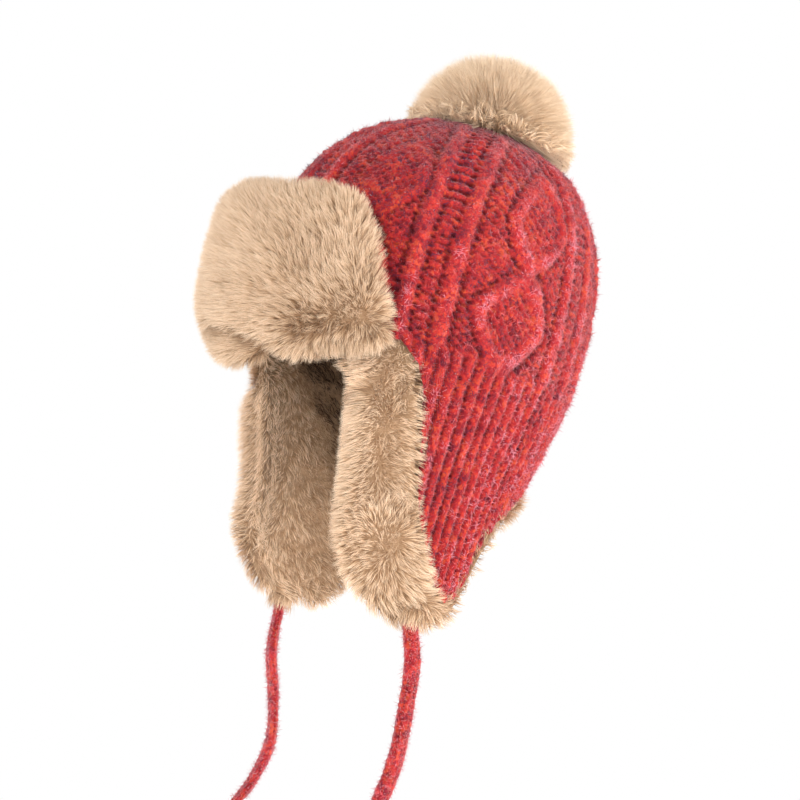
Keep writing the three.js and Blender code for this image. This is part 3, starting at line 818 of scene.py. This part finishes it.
def make_brim():
    rows, sides = ((130, 64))
    across = np.linspace(-1, 1, rows)[:, None] * BRIM_SHARE
    turn = turns_of(sides)
    end = np.clip((np.abs(across) - 0.75) / 0.15, 0, 1)
    rounded = np.sqrt(np.maximum(0.0, 1 - 0.998 * end * end))
    angle, z, out = brim_points(across, turn, rounded, mix(1.0, 0.72, end ** 2))
    raised = (4 + 5.5 * smooth(4, 24, np.abs(angle))) * smooth(-125, -85, z)
    raised = raised * smooth(1.0, 0.8, np.abs(across) / BRIM_SHARE)
    raised = raised + 3.5 * smooth(18, 28, np.abs(angle)) * smooth(-150, -180, z)
    grid = on_body(angle, z, out) + np.array([0, 0, 1.0]) * raised[..., None]
    crease = np.exp(-((z + 168 + 0.28 * angle) / 5.0) ** 2) * smooth(26, 14, np.abs(angle + 2))
    lumps = noise(grid, 26.0, 11) * 1.6 + noise(grid, 9.0, 12) * 0.8 - 12 * crease
    lumps = lumps + 5 * np.exp(-((np.degrees(turn) - 34) / 20) ** 2) * smooth(0.9, 0.5, np.abs(across))
    centre = grid.mean(1, keepdims=True)
    grid = grid + unit(grid - centre) * lumps[..., None]
    ends = [np.broadcast_to(centre[i], (1, sides, 3)) for i in (0, -1)]
    grid_piece("brim_backing", np.concatenate([ends[0], grid, ends[1]]), PILE, "cream_fur", "fur_brim")
    facing = np.broadcast_to(smooth(-0.95, -0.35, np.cos(turn)), (rows, sides))
    count = many("brim")
    root, normal, (at, zz, creased) = scatter(grid, [angle, z, crease], count, 0.10 + facing)
    _, down, around, _ = body_frame(at, place_of(zz))
    flatter = np.array([1.9, 1.0])
    places = np.stack([at, zz], -1) * flatter
    near, _ = nearest_on(BRIM_PARTING * flatter, places)
    dx, dz = (places - near).T
    spread = np.hypot(dx, dz) + 1e-6
    away = around * (dx / spread)[:, None] - down * (dz / spread)[:, None]
    calm = smooth(-3, 22, spread + 9 * noise(root, 11.0, 19))[:, None]
    twist = around * (dz / spread)[:, None] + down * (dx / spread)[:, None]
    drift = np.stack([noise(root, 15.0, 20 + k) for k in range(3)], -1)
    lay = unit(away + 0.5 * (1 - calm) * twist + 0.6 * drift)
    flat = flattened(lay, normal)
    loose = rand_dirs(count)
    front = smooth(20, 0, at)[:, None]
    first = unit(normal + flat * 0.30 * calm + 0.30 * loose)
    last = unit(flat * (0.2 + 0.65 * calm) + normal * (1.05 - 0.3 * calm) + (0.45 - 0.25 * front) * loose)
    length = RNG.uniform(*BRIM_HAIR, count) * (1 - 0.6 * creased)
    width = RNG.uniform(0.22, 0.36, count)
    shade = 0.56 + 0.17 * RNG.normal(size=count) + 0.26 * noise(root, 9.0, 32) + 0.04 * front[:, 0]
    parted = np.exp(-(spread / 22) ** 2) * smooth(5, 25, at + 12 * noise(root, 20.0, 33))
    # Painted shade in the crease along the brim's lower roll; a little darker near the parting
    shade = np.clip(shade - 0.05 * parted - 0.7 * creased, 0.12, 1)
    reach = (BRIM_INSET - 1.6) * RNG.uniform(0.7, 1.15, count)
    strands("brim_fur", root, first, last, length, width, normal, shade, FUR, "cream_fur", "fur_brim",
            clumps=many("brim", LOCKS), strength=0.62 - 0.3 * front[:, 0],
            backing=grid.reshape(-1, 3), reach=reach)


make_brim()

# Pompom
def make_pompom():
    rows, sides = 26, 48
    polar = np.linspace(0, math.radians(104), rows)[:, None]
    turn = turns_of(sides)
    flat = np.sin(polar)
    way = np.stack([flat * np.sin(turn), -flat * np.cos(turn), np.cos(polar) * np.ones_like(turn)], -1)
    grid = POMPOM_CENTRE + way * POMPOM_REACH * 0.46
    grid[..., 2] = np.maximum(grid[..., 2], 6.0)
    grid_piece("pompom_core", grid, PILE, "pompom_fur", "pompom")
    count = many("pompom")
    up = RNG.uniform(math.cos(math.radians(101)), 1, count)
    spin = RNG.uniform(0, 2 * np.pi, count)
    flat = np.sqrt(1 - up * up)
    way = np.stack([flat * np.sin(spin), -flat * np.cos(spin), up], -1)
    inner = RNG.uniform(0.34, 0.62, count)[:, None]
    root = POMPOM_CENTRE + way * POMPOM_REACH * inner
    swell = RNG.uniform(0.95, 1.08, count) + 0.02 * noise(way * 50, 14, 3)
    tip = POMPOM_CENTRE + way * POMPOM_REACH * swell[:, None]
    lowest = np.interp(np.hypot(root[:, 0], root[:, 1]), [0, 25, 42, 52], [10, 9.0, 5.0, 2.5])
    root[:, 2] = np.maximum(root[:, 2], lowest)
    run = tip - root
    length = np.linalg.norm(run, axis=1)
    along = unit(run)
    loose = rand_dirs(count)
    first = unit(along + 0.16 * loose + np.array([0, 0, 0.10]))
    last = unit(along + 0.22 * loose - np.array([0, 0, 0.10]))
    width = RNG.uniform(0.34, 0.55, count)
    shade = np.clip(0.66 + 0.18 * RNG.normal(size=count) + 0.2 * noise(way * 50, 9.0, 7), 0, 1)
    strands("pompom_fur", root, first, last, length, width, rand_dirs(count), shade, POM_FUR,
            "pompom_fur", "pompom", clumps=many("pompom", LOCKS), strength=0.45, lit=0.0)
    pompom_tufts()


def pompom_tufts():
    """Short curled hair where the ball meets the crown."""
    count = many("pompom_tufts")
    spin = RNG.uniform(0, 2 * np.pi, count)
    reach = RNG.uniform(28, 48.5, count)
    x, y = POMPOM_CENTRE[0] + reach * np.sin(spin), POMPOM_CENTRE[1] - reach * np.cos(spin)
    root = np.stack([x, y, reach * 0], -1)
    root[:, 2] = np.interp(reach, [30, 38, 47, 51], [8.0, 6.5, 2.0, 0.5]) + RNG.uniform(0, 9, count)
    out = unit((root - POMPOM_CENTRE) * np.array([1.0, 1.0, 0.0]))
    loose = rand_dirs(count)
    first = unit(out + 0.7 * loose + np.array([0, 0, 0.6]))
    last = unit(out + 0.9 * loose - np.array([0, 0, 0.5]))
    length = np.minimum(RNG.uniform(9, 16, count), 58 - reach)
    width = RNG.uniform(0.4, 0.7, count)
    strands("pompom_tufts", root, first, last, length, width, rand_dirs(count), RNG.uniform(0.5, 1, count),
            POM_FUR, "pompom_fur", "pompom", clumps=many("pompom_tufts", LOCKS), strength=0.85, lit=0.0)


make_pompom()

# Lining and fur edges
FRONT_OUT, INSIDE_OUT, FLAP_OUT = -6.9, -6.0, 2.2  # the backing, out from the bare knit
LINING_HAIR = (10.5, 15.0)
BACKING_EDGE = FUR_EDGE.copy()
BACKING_EDGE[:, 0] += np.select([FUR_EDGE[:, 0] < 70, FUR_EDGE[:, 0] > 96], [2.0, -1.0], 0)
BACKING_EDGE[:, 1] += np.interp(FUR_EDGE[:, 0], [46, 50, 58, 72, 80, 95, 104, 110, 114, 118, 126],
                              [0, 5, 5, 0, -1, -2, -4, -7, -6, -3, 0])


def lining_columns():
    spans = [(0, 38, 6.34), (38.04, 44, 1.5), (44.04, 54, 0.5), (54.04, 74, 1.5), (74.04, 130, 2),
             (130.04, 180, 4)]
    half = np.concatenate([np.arange(*span) for span in spans])
    return np.concatenate([half, [180.0], 360 - half[1:][::-1]])


def front_ease(angle, z):
    share = np.clip((from_front(angle) - 45) / 9, 0, 1)
    return mix(1.0, np.sqrt(share * (2 - share)), smooth(-170, -185, z))


def fur_out(angle, z):
    beside = smooth(60, 67, from_front(angle))
    below = smooth(-178, -200, z)
    return np.maximum(beside, below)


PARTING = np.array([[140, 56], [200, 60.5], [245, 65], [272, 71]], float)  # -z, angle
MM_PER_DEGREE = 1.42  # round the flaps
LOBE = np.array([68 * MM_PER_DEGREE, -270.0])  # middle of a flap's end


def unrolled(angle, z):
    return np.stack([from_front(angle) * MM_PER_DEGREE, z], -1)


def make_lining():
    angles = lining_columns()
    columns = len(angles)
    knit, edge = edge_at(KNIT_EDGE, angles), edge_at(BACKING_EDGE, angles) + 0.5
    edge = edge - 5 * np.exp(-((angles - 84) / 9) ** 2) + 5 * np.exp(-((angles - 262) / 10) ** 2)
    rows, sides, levels = [], [], []

    def row(z, out, side):
        rows.append(on_body(angles, z, out))
        levels.append(z)
        sides.append(np.full(columns, side))

    steep = np.abs(edge_at(KNIT_EDGE, angles + 1) - edge_at(KNIT_EDGE, angles - 1)) / 2
    shoulder = np.maximum(knit - 1.0 - 0.5 * steep, edge + 3)
    row(shoulder + 6, -5.5, 0.0)
    for share in np.linspace(0, 0.94, 22):
        z = mix(shoulder, edge, share)
        lift = np.sqrt(np.maximum(0, 1 - (2 * share - 1) ** 4))
        ease = front_ease(angles, z)
        full = mix(FRONT_OUT, mix(INSIDE_OUT, FLAP_OUT, fur_out(angles, z)), ease)
        at = unrolled(angles, z) - LOBE
        spread = np.hypot(at[:, 0], at[:, 1])
        full = full + 2.6 * smooth(31, 20, spread)
        full = full - 1.6 * np.exp(-((spread - 33) / 5) ** 2) * smooth(-285, -262, z)
        row(z, mix(INSIDE_OUT, full, lift), 1.0)
    row(edge, -7.5, 1.0)
    for share in (0.10, 0.2, 0.32, 0.46, 0.6, 0.74, 0.87, 1.0):
        z = mix(edge, -112.0, share)
        wall = mix(3.6, 1.2, smooth(-135, -70, z))
        row(z, -7.0 - (wall - 1.4) * front_ease(angles, z), -1.0)
    for z in (-100, -84, -68, -52, -38, -25, -14, -5, 2):
        row(np.full(columns, float(z)), -6.6, -1.0)
    grid, level, side = np.array(rows), np.array(levels), np.array(sides)
    lumps = noise(grid, 22.0, 15) * (np.abs(side) > 0)
    angle = np.broadcast_to(angles, level.shape)
    outward = body_frame(angle, place_of(level))[3]
    grid = grid + outward * (lumps * np.where(side > 0, 1, 0.3))[..., None]
    tip = np.broadcast_to(np.array([0.0, -3.0, 0.8]), (1, columns, 3))
    grid_piece("lining_backing", np.concatenate([grid, tip]), PILE, "cream_fur", "fur_lining")
    dense = np.where(side > 0, 1.0, 0.6) * smooth(-60, -150, level) + 0.03
    dense = dense * np.where((from_front(angle) < 40), 0.12, 1.0)
    dense = dense * (1 + 1.3 * smooth(58, 46, from_front(angle)) * smooth(-150, -185, level))
    wearer_left = (angle < 180).astype(float)
    for name, half in (("left", wearer_left), ("right", 1 - wearer_left)):
        lining_fur(name, grid, angle, level, side, dense * (half + 1e-9))


def lining_fur(name, grid, angle, level, side, dense):
    """Half of the lining's hair: outer hair rims the flap in partings, inner hair lines the inside."""
    count = many(f"lining_{name}")
    turn = np.radians(angle)
    root, normal, (sin, cos, z, face) = scatter(grid, [np.sin(turn), np.cos(turn), level, side], count, dense)
    at = np.degrees(np.arctan2(sin, cos))
    _, down, around, _ = body_frame(at, place_of(z))
    around = around * np.sign(at)[:, None]
    places = unrolled(at, z)
    fine = np.arange(0, 180.1, 1.0)
    to_fur, far_fur = nearest_on(unrolled(fine, edge_at(FUR_EDGE, fine)), places)
    to_knit, far_knit = nearest_on(unrolled(fine, edge_at(KNIT_EDGE, fine)), places)
    toward_fur = unit(to_fur - places + 1e-6)
    toward_knit = unit(to_knit - places + 1e-6)
    outer = face > 0.0
    front = from_front(at)
    rear = front > 90
    split = (front - np.interp(-z, PARTING[:, 0], PARTING[:, 1])) * MM_PER_DEGREE
    split = split + 5.0 * noise(root, 17.0, 41)
    sideways = np.stack([np.clip(split / 9, -1, 1), -0.22 - 0 * split], -1)
    nearer = smooth(-6, 6, far_knit - far_fur + 4.0 * noise(root, 14.0, 40))
    rolled = mix(toward_knit, toward_fur, nearer[:, None])
    band = np.where(rear[:, None], rolled, sideways)
    from_lobe = places - LOBE + 8.0 * np.stack([noise(root, 12.0, 46), noise(root, 12.0, 47)], -1)
    spread = np.hypot(from_lobe[:, 0], from_lobe[:, 1])[:, None]
    lobed = from_lobe / np.maximum(spread, 1e-6) * smooth(-2, 9, spread) + np.array([-0.12, -0.22])
    band = mix(band, lobed, smooth(36, 28, spread))
    inner = mix(np.array([0.0, -1.0]), toward_fur, smooth(60, 8, far_fur)[:, None] * 0.75)
    inner = inner + np.array([0.0, -0.2])
    plane = np.where(outer[:, None], band, inner)
    plane = plane + 0.42 * np.stack([noise(root, 13.0, 42), noise(root, 13.0, 43)], -1)
    axis = on_body(np.sign(at) * 52.5, z, -5.0)
    along_edge = smooth(-170, -190, z) * smooth(-292, -268, z)
    wrap = (smooth(np.where(outer, 61, 88), np.where(outer, 50, 60), front) * along_edge)[:, None]
    turned = (smooth(61, 50, front) * along_edge)[:, None]
    normal = unit(mix(normal, unit(root - axis), 0.9 * turned))
    forward = np.where(outer & (name == "right"), 0.55, -0.7)
    plane = plane * (1 - wrap) + np.stack([forward, -0.5 + 0 * z], -1) * wrap
    calm = np.clip(np.linalg.norm(plane, axis=-1), 0, 1)[:, None]
    lay = unit(around * plane[:, :1] - down * plane[:, 1:])
    flat = flattened(lay, normal)
    loose = rand_dirs(count)
    # edge: near the flaps' front edge; there the hair clumps and stirs less and is painted lighter, as
    # painted light
    edge = np.exp(-np.maximum(front - 47, 0) / 14) * smooth(-150, -185, z)
    # deep: painted shade on the inner hair further back and higher inside the flaps, and just under the brim
    deep = smooth(59, 80, front + 0.5 * (z + 155)) * smooth(-280, -230, z)
    deep = ~outer * np.maximum(deep, 0.6 * smooth(-163, -150, z))
    streak = ~outer * np.exp(-((front - 69) / 6) ** 2) * smooth(-225, -190, z)
    # top: outer hair at the flap's top behind the brim's end, painted lighter where the brim shades it
    # (painted light)
    top = outer * smooth(-205, -175, z) * smooth(54, 61, front)
    stir = (0.3 + 0.35 * (1 - calm)) * (1 - 0.4 * edge[:, None])
    lean = ~outer[:, None] * wrap
    first = unit(normal * (1 - 0.4 * lean) + flat * (0.32 * calm + 0.6 * lean) + stir * loose)
    upright = 1.05 - 0.4 * calm - 0.1 * wrap - 0.45 * lean
    last = unit(flat * (0.2 + 0.7 * calm + 0.3 * lean) + normal * upright + 1.3 * stir * loose)
    tilt = 0.8 * ~outer * smooth(105, 60, front)
    facing = unit(normal - tilt[:, None] * np.array([0, 1.0, 0]))
    length = RNG.uniform(*LINING_HAIR, count) * np.where(outer, 1.0, np.where(z < -150, 1.0, 0.7))
    width = RNG.uniform(0.24, 0.42, count)
    shade = 0.70 + 0.18 * RNG.normal(size=count) + 0.24 * noise(root, 7.0, 45)
    shade = shade - 0.62 * (1 - calm[:, 0]) * (1 - wrap[:, 0]) * (1 - top)
    # Painted light: lighter along the front edge and on the outer hair at the flap's top behind the brim's
    # end
    shade = shade + 0.5 * edge + 0.06 * outer + 0.25 * top
    # Painted light: inner hair lighter toward the front, outer hair lighter at the rear
    shade = shade + 0.25 * ~outer * smooth(88, 55, front) + 0.25 * outer * rear
    # Darker along the streak; painted shade takes the deep inner hair almost to black
    shade = np.clip(np.clip(shade - 0.3 * streak, 0.12, 1) - 0.95 * deep, 0, 1)
    reach = RNG.uniform(6.4, 8.8, count) + 1.2 * wrap[:, 0]
    lit = 0.35 + 0.25 * wrap[:, 0] + 0.3 * top - 0.1 * rear + 0.3 * ~outer * smooth(90, 60, front)
    strands(f"lining_fur_{name}", root, first, last, length, width, facing, shade, FUR,
            "cream_fur", "fur_lining", clumps=many("lining", LOCKS), strength=0.65 - 0.4 * edge, lit=lit,
            backing=grid.reshape(-1, 3), reach=reach)
    tie_tuft(name)


def tie_tuft(side):
    """Hair that hangs over the top of a tie, where it comes out of the fur."""
    (x, y), _ = TIES[side]
    count = many("tie_tuft")
    spin = RNG.uniform(0, 2 * np.pi, count)
    reach = RNG.uniform(3.5, 8.0, count)
    cos, sin = np.cos(spin), np.sin(spin)
    root = np.stack([x + reach * cos, y + reach * sin, RNG.uniform(-302, -295, count)], -1)
    out = np.stack([cos, sin, 0 * spin], -1)
    loose = rand_dirs(count)
    first = unit(np.array([0, 0, -1.0]) + 0.35 * out + 0.3 * loose)
    last = unit(np.array([0, 0, -1.0]) - 0.1 * out + 0.35 * loose)
    length = RNG.uniform(5, 13, count)
    width = RNG.uniform(0.3, 0.46, count)
    strands(f"tie_{side}_tuft", root, first, last, length, width, out, RNG.uniform(0.35, 0.85, count), FUR,
            "cream_fur", "fur_lining", clumps=many("tie_tuft", LOCKS), strength=0.4)


make_lining()

# Floor, lights, world
FLOOR_REACH, FLOOR_Z, FLOOR_SIDES = 6, -0.62, 96
LIGHTS = {  # place, size, watts
    "key": ((1.1, -2.5, -0.5), 1.4, 27),
    "fill": ((2.4, -1.6, -0.45), 1.6, 60),
    "right": ((2.8, -0.5, -0.5), 1.4, 24),
    "side": ((-2.4, -1.3, -0.3), 1.6, 30),
    "low": ((-1.9, -1.7, -1.3), 1.4, 22),
    "top": ((0.6, 0.3, 2.4), 1.6, 4),
    "back": ((2.2, 2.0, 0.0), 1.6, 74),
}
LIT_PLACE = np.array([0, 0, -0.14])


def make_stage():
    mesh = bpy.data.meshes.new("floor")
    turns = [2 * math.pi * i / FLOOR_SIDES for i in range(FLOOR_SIDES)]
    ring = [(FLOOR_REACH * math.cos(turn), FLOOR_REACH * math.sin(turn), FLOOR_Z) for turn in turns]
    mesh.from_pydata(ring, [], [list(range(FLOOR_SIDES))])
    floor = new_object("floor", mesh)
    material = bpy.data.materials.new("floor_pale")
    material.use_nodes = True
    shader = material.node_tree.nodes["Principled BSDF"]
    shader.inputs["Base Color"].default_value = (0.86, 0.86, 0.86, 1)
    shader.inputs["Emission Color"].default_value = (1, 1, 1, 1)
    shader.inputs["Emission Strength"].default_value = 0.36
    shader.inputs["Roughness"].default_value = 0.9
    mesh.materials.append(material)
    world = bpy.data.worlds.new("world")
    world.use_nodes = True
    sky = world.node_tree
    sky.nodes["Background"].inputs[0].default_value = (1, 1, 1, 1)
    seen = sky.nodes.new("ShaderNodeLightPath").outputs["Is Camera Ray"]
    power = sky.nodes.new("ShaderNodeMapRange")
    power.inputs["To Min"].default_value = 0.55
    power.inputs["To Max"].default_value = 1.0
    sky.links.new(seen, power.inputs["Value"])
    sky.links.new(power.outputs[0], sky.nodes["Background"].inputs[1])
    bpy.context.scene.world = world
    for name, (place, size, power) in LIGHTS.items():
        data = bpy.data.lights.new(name, "AREA")
        data.shape = "DISK"
        data.size = size
        data.energy = power
        back = unit(np.array(place) - LIT_PLACE)
        right = unit(np.cross([0, 0, 1.0], back))
        new_object(name, data).matrix_world = pose(right, np.cross(back, right), back, place)
    bpy.context.scene.view_settings.view_transform = "Standard"
    bpy.context.scene.view_settings.look = "None"


make_stage()
